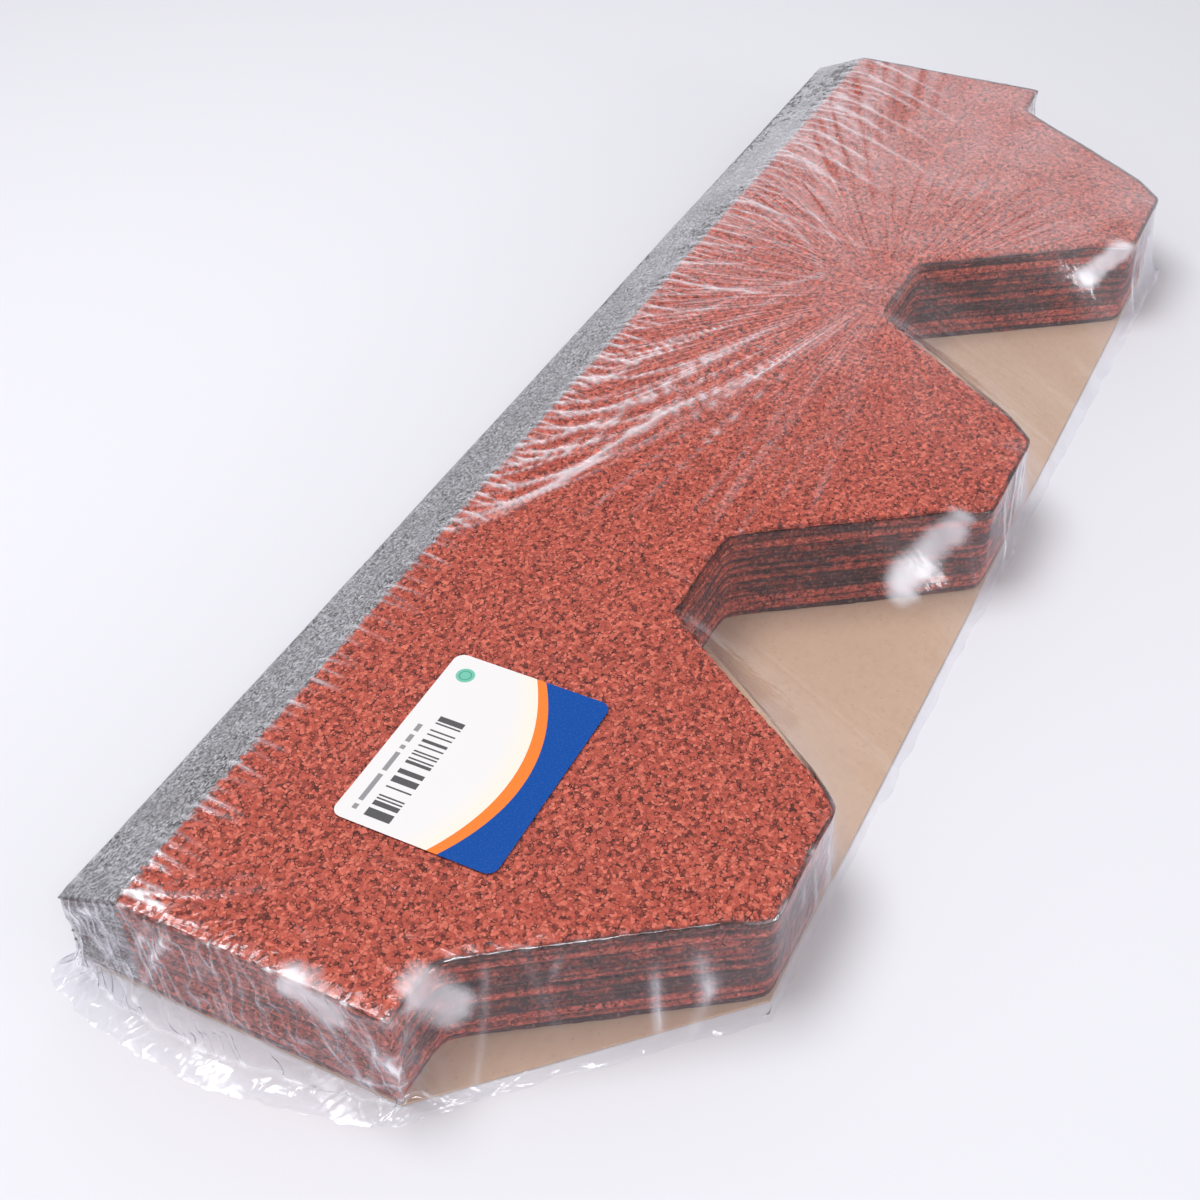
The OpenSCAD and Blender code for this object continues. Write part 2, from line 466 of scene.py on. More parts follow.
def measure_stack(sizes):
    """The stack's lines and levels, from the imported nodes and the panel's values."""
    board_low, board_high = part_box("backing_board")
    stack = SimpleNamespace()
    stack.half = board_high.x
    stack.butt_y = board_low.y
    stack.back_y = board_high.y
    stack.root_y = stack.butt_y + sizes.tab_depth
    stack.band_y = stack.root_y + sizes.face_band
    stack.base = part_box("shingles_face_down")[0].z
    stack.count = sizes.strip_count
    stack.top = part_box("shingles_face_up")[1].z
    stack.pitch = (stack.top - stack.base + sizes.strip_gap) / sizes.strip_count
    stack.thickness = stack.pitch - sizes.strip_gap
    stack.back_pitch = sizes.headlap_thickness + sizes.strip_gap
    stack.back_top = stack.base + sizes.strip_count * stack.back_pitch - sizes.strip_gap
    stack.period = 2 * stack.half / sizes.tab_count
    stack.butt_half = sizes.butt_width / 2
    stack.root_half = (stack.period - sizes.root_width) / 2
    stack.tabs = [(tab + 0.5) * stack.period - stack.half for tab in range(sizes.tab_count)]
    return stack


def rounded_max(a, b):
    """The larger of two values, with a rounded corner where they meet."""
    return (a + b + np.sqrt((a - b) ** 2 + CORNER ** 2)) / 2


def front_edge(stack, x, reach=0.0):
    """Where the row of tabs ends in front, for each x, or a line that much further out."""
    off = np.abs((np.asarray(x) + stack.half) % stack.period - stack.period / 2)
    off = np.where(np.abs(x) > stack.half, stack.period / 2, off)
    slope = (stack.root_y - stack.butt_y) / (stack.root_half - stack.butt_half)
    line = stack.butt_y + (off - reach - stack.butt_half) * slope
    return -rounded_max(-rounded_max(line, stack.butt_y), -stack.root_y) - reach


def column_places(stack, spacing, reach=0.0):
    """The x of each column of points, with a column on every corner of the tabs."""
    corners = [-stack.half - reach, stack.half + reach]
    for tab in stack.tabs:
        for half in (stack.butt_half + reach, stack.root_half + reach):
            corners += [tab - half, tab + half]
    corners = sorted(corners)
    places = [corners[0]]
    for start, end in zip(corners, corners[1:]):
        places += list(np.linspace(start, end, max(1, ceil((end - start) / spacing)) + 1)[1:])
    return np.array(places)


def strip_loop(stack, spacing):
    """Points round one strip, counter-clockwise from its back left corner."""
    corners = [(-stack.half, stack.back_y), (-stack.half, stack.band_y), (-stack.half, stack.root_y)]
    for tab in stack.tabs:
        corners += [(tab - stack.root_half, stack.root_y), (tab - stack.butt_half, stack.butt_y),
                    (tab + stack.butt_half, stack.butt_y), (tab + stack.root_half, stack.root_y)]
    corners += [(stack.half, stack.root_y), (stack.half, stack.band_y), (stack.half, stack.back_y)]
    points = []
    for start, end in zip(corners, corners[1:] + corners[:1]):
        start, end = np.array(start), np.array(end)
        count = max(1, ceil(np.linalg.norm(end - start) / spacing))
        points += [start + (end - start) * step / count for step in range(count)]
    points = np.array(points)
    ahead = points[:, 1] <= stack.root_y + TOUCH
    points[ahead, 1] = front_edge(stack, points[ahead, 0])
    return points


def loop_normals(loop):
    """Directions straight out of a counter-clockwise loop."""
    along = np.roll(loop, -1, 0) - np.roll(loop, 1, 0)
    out = np.stack([along[:, 1], -along[:, 0]], 1)
    return out / np.maximum(np.linalg.norm(out, axis=1, keepdims=True), 1e-9)


def droop(stack, x, y):
    """How far the film's pull has bent the top of the stack down at the tips of the tabs and the ends."""
    sag = 0.0007 * (1 - blend_in(y - front_edge(stack, x), 0.0, 0.006))
    sag = sag + 0.0006 * blend_in(np.abs(x), stack.half - 0.006, stack.half)
    corners = [(tab + side * stack.butt_half, stack.butt_y) for tab in stack.tabs for side in (-1, 1)]
    for corner_x, corner_y in corners:
        away = np.hypot(x - corner_x, y - corner_y)
        sag = sag + 0.0042 * (1 - blend_in(away, 0.0, 0.028))
    return sag


def strip_height(stack, level, x, y):
    """Underside and thickness of the strip at one level, for each place."""
    share = np.clip((y - stack.band_y) / (stack.back_y - stack.band_y), 0, 1)
    pitch = stack.pitch + (stack.back_pitch - stack.pitch) * share
    pitch = pitch - droop(stack, x, y) / stack.count
    return stack.base + level * pitch, pitch - (stack.pitch - stack.thickness)


def strip_shift(sizes, level):
    """Sideways offset of the strip at one level, as it is packed."""
    return sizes.stagger * np.array([sin(radians(137 * level)), sin(radians(71 * level + 40))])


def strip_walls(stack, sizes, level, loop):
    """Rows of points up the cut edge of a strip, with how much the granules cover each point."""
    out = loop_normals(loop)
    low, thin = strip_height(stack, level, loop[:, 0], loop[:, 1])
    shift = strip_shift(sizes, level)
    sway = smooth_noise(loop[:, 0] + loop[:, 1], loop[:, 1], 0.045, 300 + level) * 0.0006
    rows, cover = [], []
    face_up = level % 2 == 1
    pair = (sizes.strip_count - level) // 2
    show = EDGE_SHOW[min(pair, len(EDGE_SHOW) - 1)] if level < sizes.strip_count - 1 else 0.9
    for index, share in enumerate(WALL_ROWS):
        ragged = smooth_noise(loop[:, 0], loop[:, 1], 0.0045, 40 * level + index) * 0.00038
        rounding = -0.0004 * (2 * share - 1) ** 4
        offset = (sway + ragged + rounding)[:, None]
        wobble = smooth_noise(loop[:, 0], loop[:, 1], 0.009, 900 + 7 * level) * 0.00008
        place = loop + out * offset + shift
        rows.append(np.column_stack([place, low + thin * share + wobble]))
        depth = 1 - share if face_up else share
        uneven = smooth_noise(loop[:, 0] * 1.7, loop[:, 1] * 1.7, 0.03, 70 + pair) * 0.22
        bare = 0.35 * (loop[:, 0] < -stack.half + 0.006) + 0.12 * (np.abs(loop[:, 1] - stack.root_y) < 0.006)
        cover.append(np.clip((show + uneven + bare) * (1.2 - 0.55 * depth), 0, 1))
    return rows, cover


def rounded_outline(half_x, half_y, radius):
    """Points round a rectangle with round corners, counter-clockwise."""
    arcs = []
    for quarter, (side_x, side_y) in enumerate(((1, 1), (-1, 1), (-1, -1), (1, -1))):
        turn = (quarter + np.linspace(0, 1, 9)) * pi / 2
        centre = (side_x * (half_x - radius), side_y * (half_y - radius))
        arcs.append(centre + radius * np.column_stack([np.cos(turn), np.sin(turn)]))
    share = np.linspace(0, 1, 11)[1:-1, None]
    sides = [arc[-1] + (after[0] - arc[-1]) * share for arc, after in zip(arcs, arcs[1:] + arcs[:1])]
    return np.concatenate([part for pair in zip(arcs, sides) for part in pair])


def ring_indices(start, count, rings):
    """Point numbers of rings of points that follow each other."""
    return [list(range(start + ring * count, start + (ring + 1) * count)) for ring in range(rings)]


def sheet_plan(stack, columns, front, back_y, face_rows, lap_rows):
    """Places of a sheet's points, in rows from the front edge to the bend and on to the back edge."""
    y = front[:, None] + (stack.band_y - front)[:, None] * np.linspace(0, 1, face_rows + 1)
    lap = np.linspace(stack.band_y, back_y, lap_rows + 1)[1:]
    y = np.concatenate([y, np.tile(lap, (len(columns), 1))], 1)
    return np.tile(columns[:, None], (1, y.shape[1])), y


def sheet_faces(wide, deep):
    """Quads of a grid of points, and its edge from the back left corner, counter-clockwise."""
    grid = np.arange(wide * deep).reshape(wide, deep)
    quads = np.stack([grid[:-1, :-1], grid[1:, :-1], grid[1:, 1:], grid[:-1, 1:]], 2).reshape(-1, 4)
    edge = np.concatenate([grid[0, ::-1], grid[1:, 0], grid[-1, 1:], grid[-2:0:-1, -1]])
    return quads.tolist(), edge


def join_rows(rows, count):
    """Quads between rows of a closed loop, each row given as its first index."""
    faces = []
    for lower, upper in zip(rows, rows[1:]):
        for k in range(count):
            after = (k + 1) % count
            faces.append((lower[k], lower[after], upper[after], upper[k]))
    return faces


def cap_faces(loop, indices, band_y, upward):
    """The face of a strip in front of the bend, and its headlap behind it."""
    ahead = np.nonzero(loop[:, 1] <= band_y + TOUCH)[0]
    first, last, count = ahead[0], ahead[0] + len(ahead) - 1, len(indices)
    front = [indices[k] for k in ahead]
    back = [indices[k % count] for k in range(last, first + count + 1)]
    return [tuple(cap) if upward else tuple(cap[::-1]) for cap in (front, back)]


def add_strip(stack, sizes, level, material):
    """One plain strip of the stack with ragged cut edges."""
    loop = strip_loop(stack, sizes.edge_spacing)
    rows, cover = strip_walls(stack, sizes, level, loop)
    rings = ring_indices(0, len(loop), len(rows))
    faces = join_rows(rings, len(loop))
    faces += cap_faces(loop, rings[0], stack.band_y, False)
    faces += cap_faces(loop, rings[-1], stack.band_y, True)
    return add_piece(f"strip_{level + 1:02d}", np.concatenate(rows), faces, material,
                     {"cover": np.concatenate(cover)}, radians(50))


def add_top_strip(stack, sizes, level, material):
    """The top strip, with its granule face as a fine uneven grid."""
    columns = column_places(stack, sizes.face_spacing)
    front = front_edge(stack, columns)
    front = front + smooth_noise(columns, front, 0.0035, 11) * 0.0009
    face_rows = ceil((stack.band_y - stack.butt_y) / sizes.face_spacing)
    lap_rows = ceil((stack.back_y - stack.band_y) / sizes.face_spacing)
    x, y = sheet_plan(stack, columns, front, stack.back_y, face_rows, lap_rows)
    low, thin = strip_height(stack, level, x, y)
    relief = smooth_noise(x, y, 0.0031, 21) * 0.00022 + smooth_noise(x, y, 0.0019, 22) * 0.00016 - 0.00012
    x = x + smooth_noise(x, y, 0.004, 23) * 0.0003
    shift = strip_shift(sizes, level)
    top = np.stack([x + shift[0], y + shift[1], low + thin + relief], 2).reshape(-1, 3)
    faces, edge = sheet_faces(*y.shape)
    loop = top[edge, :2] - shift
    rows, cover = strip_walls(stack, sizes, level, loop)
    rings = ring_indices(len(top), len(loop), len(rows) - 1)
    faces += join_rows(rings + [edge.tolist()], len(loop))
    square_y = np.where(loop[:, 1] > stack.band_y + TOUCH, stack.back_y, loop[:, 1])
    faces += cap_faces(np.column_stack([loop[:, 0], square_y]), rings[0], stack.band_y, False)
    covers = np.concatenate([np.ones(len(top))] + cover[:-1])
    return add_piece(f"strip_{level + 1:02d}", np.concatenate([top] + rows[:-1]), faces, material,
                     {"cover": covers}, radians(60))


# ---- film

def pull_point(stack):
    """The point by the far cutout's root that the film's creases fan out from."""
    return np.array([stack.tabs[-1] - stack.period / 2 - 0.010, stack.root_y + 0.004])


def crease_list(stack, film):
    """Creases of the film over the top, each as start, bend and end points with a width and a height."""
    draw = np.random.default_rng(41).uniform
    tall = film.crease_height
    band, root, half = stack.band_y, stack.root_y, stack.half
    pull = pull_point(stack)
    creases = []

    def add(start, bend, end, width, height):
        creases.append((np.array(start), np.array(bend), np.array(end), width, height))

    x = -half + 0.006
    while x < half:
        far = float(blend_in(x, -0.1, 0.4))
        length = draw(0.010, 0.030) * (1 + 0.6 * far)
        drift = draw(-0.25, 0.10)
        start = (x, band + draw(0.002, 0.006))
        add(start, (x + drift * length * 0.4, band - length * 0.5), (x + drift * length, band - length),
            draw(1.0, 1.6) * MM, tall * draw(0.75, 1.5))
        x += draw(0.006, 0.013)

    x = -0.40 * half
    while x < 0.97 * half:
        start = np.array([x, band + 0.004])
        aim = pull + np.array([draw(-0.03, 0.06), draw(-0.01, 0.05)])
        if x > 0.5 * half:
            aim = start + np.array([-0.075, -0.12])
        end = start + (aim - start) * draw(0.35, 0.92)
        bend = start + np.array([0.06 * (end[0] - start[0]), -0.55 * abs(end[1] - start[1])])
        add(start, bend, end, draw(1.3, 2.6) * MM, tall * draw(0.5, 1.3))
        x += draw(0.007, 0.013)

    y = root - 0.040
    while y < root + 0.085:
        start = pull + np.array([-0.02, 0.12 * (y - root)])
        end = np.array([draw(-0.16, -0.06), y + draw(-0.004, 0.006)])
        middle = (start + end) / 2 + np.array([0.0, 0.10 * (y - root)])
        add(end, middle, start, draw(1.1, 1.9) * MM, tall * draw(0.4, 0.9))
        y += draw(0.006, 0.011)

    for start_x in np.linspace(0.62 * half, 0.99 * half, 9):
        start = np.array([start_x, band - draw(0.0, 0.03)])
        end = start + np.array([-0.05, -0.095]) * draw(0.6, 1.2)
        add(start, (start + end) / 2 + np.array([0.006, 0.0]), end, 2.4 * MM, 1.3 * tall)

    corner = np.array([-half + 0.006, band - 0.002])
    for turn, length in ((-88, 0.05), (-62, 0.07), (-58, 0.095), (-40, 0.05), (-74, 0.04)):
        end = corner + length * np.array([cos(radians(turn)), sin(radians(turn))])
        add(corner, (corner + end) / 2 + np.array([-0.006, -0.004]), end, 1.2 * MM, 0.9 * tall)

    for _ in range(70):
        x = draw(-half, half)
        y = draw(root, band - 0.02)
        turn = draw(-2.2, -0.9)
        length = draw(0.008, 0.024)
        end = np.array([x + cos(turn) * length, y + sin(turn) * length])
        add((x, y), (np.array([x, y]) + end) / 2 + draw(-0.002, 0.002, 2), end,
            draw(0.9, 1.4) * MM, tall * draw(0.3, 0.6))

    for x in column_places(stack, 0.0065, film.reach):
        y = float(front_edge(stack, x, film.reach))
        length = draw(0.004, 0.014)
        lean = draw(-0.5, 0.5)
        add((x, y), (x + 0.4 * lean * length, y + 0.6 * length), (x + lean * length, y + length),
            draw(0.9, 1.3) * MM, tall * draw(0.3, 0.9))
    return creases


def crease_relief(x, y, creases):
    """Height of the creases at each point, and how far each point is up a crease."""
    height = np.zeros(x.shape)
    for start, bend, end, width, tall in creases:
        steps = max(4, ceil(np.linalg.norm(end - start) / (1.5 * MM)))
        t = np.linspace(0, 1, steps)[:, None]
        curve = start * (1 - t) ** 2 + bend * 2 * t * (1 - t) + end * t ** 2
        low, high = curve.min(0) - 3 * width, curve.max(0) + 3 * width
        near = (x > low[0]) & (x < high[0]) & (y > low[1]) & (y < high[1])
        if not near.any():
            continue
        gap = (x[near][:, None] - curve[:, 0]) ** 2 + (y[near][:, None] - curve[:, 1]) ** 2
        step = gap.argmin(1)
        along = step / (steps - 1)
        fade = (1 - along) ** 0.5 * np.minimum(1, 0.35 + along / 0.12)
        height[near] += tall * fade * np.exp(-gap[np.arange(len(step)), step] / width ** 2)
    return height


def film_foot(stack, film, loop, kinds):
    """Where each line of the film meets the floor, for each point of its top edge."""
    half, root, butt = stack.half, stack.root_y, stack.butt_y
    foot = np.full((len(loop), 3), FILM_FLOOR)
    near_corner = np.array([-half - film.near_spread * 0.5, root + 0.007])
    far_corner = np.array([half + film.far_spread * 0.6, root + 0.010])
    near_butt = np.array([stack.tabs[0] - stack.butt_half - 0.010, butt - 0.004])
    far_butt = np.array([stack.tabs[-1] + stack.butt_half + 0.008, butt - 0.012])
    for kind, side, spread, corner in (("left", -1, film.near_spread, near_corner),
                                       ("right", 1, film.far_spread, far_corner)):
        here = np.nonzero(kinds == kind)[0]
        y = loop[here, 1]
        share = (y - y.min()) / (y.max() - y.min())
        bulge = np.sin(pi * np.clip(share, 0, 1)) ** 0.7
        foot[here, 0] = side * (half + spread * (0.45 + 0.55 * bulge))
        foot[here, 1] = corner[1] + share * (stack.back_y + 0.008 - corner[1])
        foot[here[share == 0], 0] = corner[0]

    back = kinds == "back"
    x = loop[back, 0]
    foot[back, 0] = x * (half + film.near_spread * 0.45) / half
    foot[back, 1] = stack.back_y + 0.0045 + 0.0035 * blend_in(np.abs(x), half - 0.06, half)

    front = np.nonzero(kinds == "front")[0]
    x, y = loop[front].T
    steps = np.r_[0, np.cumsum(np.hypot(np.diff(x), np.diff(y)))]
    share = (x - near_butt[0]) / (far_butt[0] - near_butt[0])
    foot[front, 0] = x
    foot[front, 1] = near_butt[1] + share * (far_butt[1] - near_butt[1])
    for part, start, end in ((x <= near_butt[0] + 0.008, near_corner, near_butt),
                             (x >= far_butt[0] - 0.006, far_butt, far_corner)):
        share = (steps[part] - steps[part].min()) / np.ptp(steps[part])
        foot[front[part], :2] = start + (end - start) * share[:, None]

    ripple = smooth_noise(foot[:, 0], foot[:, 1], 0.018, 61) * 0.0016
    ripple += smooth_noise(foot[:, 0], foot[:, 1], 0.006, 62) * 0.0007
    ripple *= 1 + 1.6 * blend_in(-foot[:, 0], half - 0.02, half + 0.02)
    foot[:, :2] += loop_normals(foot[:, :2]) * ripple[:, None]
    return foot


def relax_skirt(stack, film, skirt, kinds, rounds=260, pull=0.55):
    """Draws the film tight between its top edge, its seam and the floor, clear of the strips."""
    reach = film.reach
    limit_x = stack.half + reach
    front, left, right, back = (kinds == kind for kind in ("front", "left", "right", "back"))
    free = np.array([row for row in range(1, SKIRT_ROWS) if row != SEAM_ROW])
    for _ in range(rounds):
        across = np.roll(skirt, 1, 0) + np.roll(skirt, -1, 0)
        mean = pull * across[:, free] + skirt[:, free - 1] + skirt[:, free + 1]
        skirt[:, free] = mean / (2 + 2 * pull)
        x, y = skirt[:, :, 0], skirt[:, :, 1]
        inside = np.abs(x) < limit_x
        edge = front_edge(stack, x, reach)
        y[front] = np.where(inside[front] & (y[front] > edge[front]), edge[front], y[front])
        x[left] = np.minimum(x[left], -limit_x)
        x[right] = np.maximum(x[right], limit_x)
        y[back] = np.maximum(y[back], stack.back_y + reach)
    return skirt


def skirt_creases(shape, rng, tall):
    """Relief of the hanging film in its own grid: creases that run from the top edge to the floor."""
    count, rows = shape
    station = np.arange(count)[:, None]
    share = np.linspace(0, 1, rows)[None, :]
    relief = np.zeros(shape)
    place = 0.0
    while place < count:
        lean = rng.uniform(-14, 14)
        start, end = sorted(rng.uniform(-0.25, 1.2, 2))
        width = rng.uniform(1.0, 2.2)
        centre = place + lean * share
        off = (station - centre + count / 2) % count - count / 2
        window = np.clip((share - start) / 0.2, 0, 1) * np.clip((end - share) / 0.2, 0, 1)
        relief += tall * rng.uniform(-0.5, 1.0) * window * np.exp(-(off / width) ** 2)
        place += rng.uniform(2.5, 9.0)
    return relief


def glare_spots(stack):
    """Places where white glare is painted onto the film as a highlight, each as two ends and a radius."""
    near = np.array([-stack.half, stack.root_y, stack.top])
    middle = np.array([stack.tabs[1] - stack.butt_half, stack.butt_y, stack.top])
    far = np.array([stack.tabs[-1] - stack.butt_half, stack.butt_y, stack.top])
    return (
        (near + (0.002, 0.050, -0.004), near + (-0.002, 0.030, -0.012), 0.010),
        (near + (0.022, -0.002, -0.004), near + (0.030, -0.014, -0.020), 0.011),
        (middle + (-0.052, 0.034, -0.031), middle + (-0.020, 0.016, -0.012), 0.013),
        (far + (-0.027, 0.022, -0.020), far + (-0.004, 0.006, -0.006), 0.009),
    )


def top_sheet(stack, film, label_low, label_high):
    """The film over the top of the stack: its points, and its finish at each of them."""
    columns = column_places(stack, film.column_spacing, film.reach)
    front = front_edge(stack, columns, film.reach)
    x, y = sheet_plan(stack, columns, front, stack.back_y + film.reach, FILM_FACE_ROWS, FILM_LAP_ROWS)
    drop = np.clip((y - stack.band_y) / (stack.back_y - stack.band_y), 0, 1.05)
    bend = 0.000275 * np.exp(-((y - stack.band_y) / 0.006) ** 2)
    z = stack.top + FILM_LIFT + (stack.back_top - stack.top) * drop - bend - droop(stack, x, y)

    relief = crease_relief(x, y, crease_list(stack, film))
    margin = 0.004
    gap_x = np.maximum(label_low.x - margin - x, x - label_high.x - margin)
    gap_y = np.maximum(label_low.y - margin - y, y - label_high.y - margin)
    calm = blend_in(np.maximum(gap_x, gap_y), 0.0, 0.012)
    wave = smooth_noise(x, y, 0.042, 51) * 0.00035 + smooth_noise(x, y, 0.017, 52) * 0.00018
    z = z + calm * (relief + np.maximum(wave, -0.0002))

    far = blend_in(x, -0.12, 0.42)
    crease = calm * np.clip(relief / film.crease_height, 0, 1.05) * (1 - 0.35 * far)
    # White glint lines painted along the film's near end edge and the near tab's front edge, which also
    # strengthen the mirror there
    rim_glint = np.exp(-((x + stack.half + film.reach) / 0.0024) ** 2) * (y > stack.root_y) * (y < stack.band_y)
    near_tab = x < stack.tabs[0] + stack.butt_half + 0.01
    rim_glint += 0.9 * np.exp(-((y - front[:, None]) / 0.0026) ** 2) * near_tab
    crease = crease + rim_glint * (0.5 + 0.6 * smooth_noise(x, y, 0.007, 53))
    lap = blend_in(y, stack.band_y - 0.01, stack.band_y + 0.004)
    centre = pull_point(stack)
    fan = 1 - blend_in(np.hypot(x - centre[0], y - centre[1]), 0.10, 0.24)
    strain = blend_in(x, -0.2, 0.05) * (1 - blend_in(stack.band_y - y, 0.04, 0.11)) * (1 - lap)
    finish = {
        "crease": np.clip(crease, 0, 1.05),
        # Haze of the film, with a painted sheen that rises towards the far end in place of its grazing
        # reflection
        "veil": 0.01 + 0.48 * far + lap * (0.03 + 0.10 * far),
        "gloss": 0.55,
        "crumple": np.maximum(0.7 * blend_in(-x, stack.half - 0.022, stack.half),
                              0.9 * lap * blend_in(-x, stack.half - 0.06, stack.half - 0.01)),
        "strain": calm * np.maximum(strain, 0.6 * fan),
    }
    return np.stack([x, y, z], 2), finish


def skirt_start(stack, foot, loop):
    """The hanging film as straight lines from its top edge to its seam, and on to its foot."""
    away = foot[:, :2] - loop[:, :2]
    away /= np.linalg.norm(away, axis=1, keepdims=True)
    flap = 0.0025 + 0.012 * blend_in(-foot[:, 0], stack.half - 0.01, stack.half + 0.01)
    flap += 0.006 * blend_in(foot[:, 0], stack.half - 0.01, stack.half + 0.01)
    seam = np.column_stack([foot[:, :2] - away * flap[:, None], 0.0012 + 0.35 * flap])
    seam[:, 2] += smooth_noise(foot[:, 0], foot[:, 1], 0.011, 63) * 0.0012
    seam[:, 2] = np.maximum(seam[:, 2], 0.0008)
    hang = np.linspace(0, 1, SEAM_ROW + 1)[None, :, None]
    flat = np.linspace(0, 1, SKIRT_ROWS - SEAM_ROW + 1)[None, 1:, None]
    loop, seam, foot = loop[:, None], seam[:, None], foot[:, None]
    return np.concatenate([loop + (seam - loop) * hang, seam + (foot - seam) * flat], 1)


def skirt_sheet(stack, film, loop, kinds):
    """The film that hangs from the top edge to the floor: its points, and its finish at each of them."""
    foot = film_foot(stack, film, loop[:, :2], kinds)
    skirt = relax_skirt(stack, film, skirt_start(stack, foot, loop), kinds)
    along = np.roll(skirt, -1, 0) - np.roll(skirt, 1, 0)
    out = np.cross(np.gradient(skirt, axis=1), along)
    out /= np.maximum(np.linalg.norm(out, axis=2, keepdims=True), 1e-9)
    folds = skirt_creases(skirt.shape[:2], np.random.default_rng(77), FOLD_HEIGHT)
    over_cutout = (kinds == "front") & (loop[:, 1] > stack.butt_y + 0.004) & (loop[:, 0] > stack.tabs[0])
    folds = folds * np.where(over_cutout, 0.22, 1.0)[:, None]
    x, y, z = np.moveaxis(skirt, 2, 0)
    gather = blend_in(-x, stack.half - 0.03, stack.half + 0.004)
    gather = np.maximum(gather, 0.6 * blend_in(x, stack.half - 0.03, stack.half + 0.004))
    crumple = smooth_noise(y + x, z, 0.012, 64) * 0.0032 + smooth_noise(y, z + x, 0.0065, 65) * 0.0016
    row = np.arange(SKIRT_ROWS + 1)[None, :]
    hold = np.clip(row / 3.0, 0, 1) * np.clip((SKIRT_ROWS - row) / 2.0, 0, 1)
    push = np.maximum(hold * (folds * (1 + 0.6 * gather) + crumple * gather), -0.0006)
    skirt = skirt + out * push[:, :, None]
    skirt[:, :, 2] = np.maximum(skirt[:, :, 2], FILM_FLOOR)
    # A pale glint line painted along the seam, which also strengthens the mirror there
    seam = 0.7 * np.exp(-((row - SEAM_ROW) / 0.8) ** 2) * (0.3 + gather)
    far = blend_in(skirt[:, :, 0], 0.12, 0.42)
    finish = {
        "crease": np.maximum(np.clip(np.abs(folds) / FOLD_HEIGHT, 0, 1) * hold, seam),
        # Haze of the film, milkier where it is gathered and a little towards the foot, with a painted sheen
        # that rises towards the far end
        "veil": 0.02 + 0.12 * gather + 0.22 * far + 0.04 * (row / SKIRT_ROWS),
        "gloss": 1.5 + 0.2 * gather,
        "crumple": 0.10 + 0.85 * gather * np.where(row > SEAM_ROW, 0.45, 1.0),
        "strain": 0.0,
    }
    return skirt, finish


def film_shape(stack, film, label_low, label_high):
    """Points, faces and finish of the whole wrap: its top sheet, its skirt and its underside."""
    sheet, sheet_finish = top_sheet(stack, film, label_low, label_high)
    wide, deep = sheet.shape[:2]
    faces, edge = sheet_faces(wide, deep)
    top = sheet.reshape(-1, 3)
    top[edge, 2] -= EDGE_DIP
    kinds = np.array(["left"] * deep + ["front"] * (wide - 2) + ["right"] * deep + ["back"] * (wide - 2))
    skirt, skirt_finish = skirt_sheet(stack, film, top[edge], kinds)
    rings = [edge.tolist()] + ring_indices(len(top), len(edge), SKIRT_ROWS)
    faces += join_rows(rings[::-1], len(edge)) + [tuple(rings[-1])]
    points = np.concatenate([top, np.swapaxes(skirt[:, 1:], 0, 1).reshape(-1, 3)])
    finish = {}
    for name, upper in sheet_finish.items():
        upper = np.broadcast_to(upper, (wide, deep)).ravel()
        lower = np.broadcast_to(skirt_finish[name], skirt.shape[:2])
        finish[name] = np.concatenate([upper, np.swapaxes(lower[:, 1:], 0, 1).ravel()])
    uneven = smooth_noise(points[:, 0] + points[:, 2], points[:, 1] - points[:, 2], 0.007, 67) * 0.2
    # Painted highlights: white glare patches added to the film's milky part
    for start, end, radius in glare_spots(stack):
        share = np.clip((points - start) @ (end - start) / ((end - start) @ (end - start)), 0, 1)
        gap = np.linalg.norm(points - start - share[:, None] * (end - start), axis=1) / radius
        finish["veil"] = finish["veil"] + 1.9 * (1 - blend_in(gap + uneven, 0.45, 1.25))
    return points, faces, finish


# ---- operators

class BUNDLE_OT_strips(bpy.types.Operator):
    """Adds the stack of shingle strips"""

    bl_idname = "bundle.add_strips"
    bl_label = "Shingle strips"

    def execute(self, context):
        sizes = context.scene.bundle_shingles
        stack = measure_stack(sizes)
        material = shingle_material(sizes, stack)
        top_level = sizes.strip_count - 1
        for level in range(sizes.strip_count):
            make = add_top_strip if level == top_level else add_strip
            piece = make(stack, sizes, level, material)
            node = "shingles_face_up" if level % 2 else "shingles_face_down"
            finish_piece(piece, "shingle", node)
        return {"FINISHED"}


class BUNDLE_OT_board(bpy.types.Operator):
    """Finishes the kraft board under the stack"""

    bl_idname = "bundle.finish_board"
    bl_label = "Backing board"

    def execute(self, context):
        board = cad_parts["backing_board"]
        board.data.materials.clear()
        board.data.materials.append(board_material(context.scene.bundle_board))
        return {"FINISHED"}


class BUNDLE_OT_film(bpy.types.Operator):
    """Adds the creased shrink film"""

    bl_idname = "bundle.add_film"
    bl_label = "Shrink film"

    def execute(self, context):
        film = context.scene.bundle_film
        stack = measure_stack(context.scene.bundle_shingles)
        points, faces, finish = film_shape(stack, film, *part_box("label"))
        material = film_material(film, pull_point(stack).tolist())
        piece = add_piece("shrink_film", points, faces, material, finish)
        # Clear film takes little light, but its many layers would darken what they cover
        piece.visible_shadow = False
        piece.visible_diffuse = False
        finish_piece(piece, "clear_film", "film_upper_web", "film_lower_web")
        return {"FINISHED"}


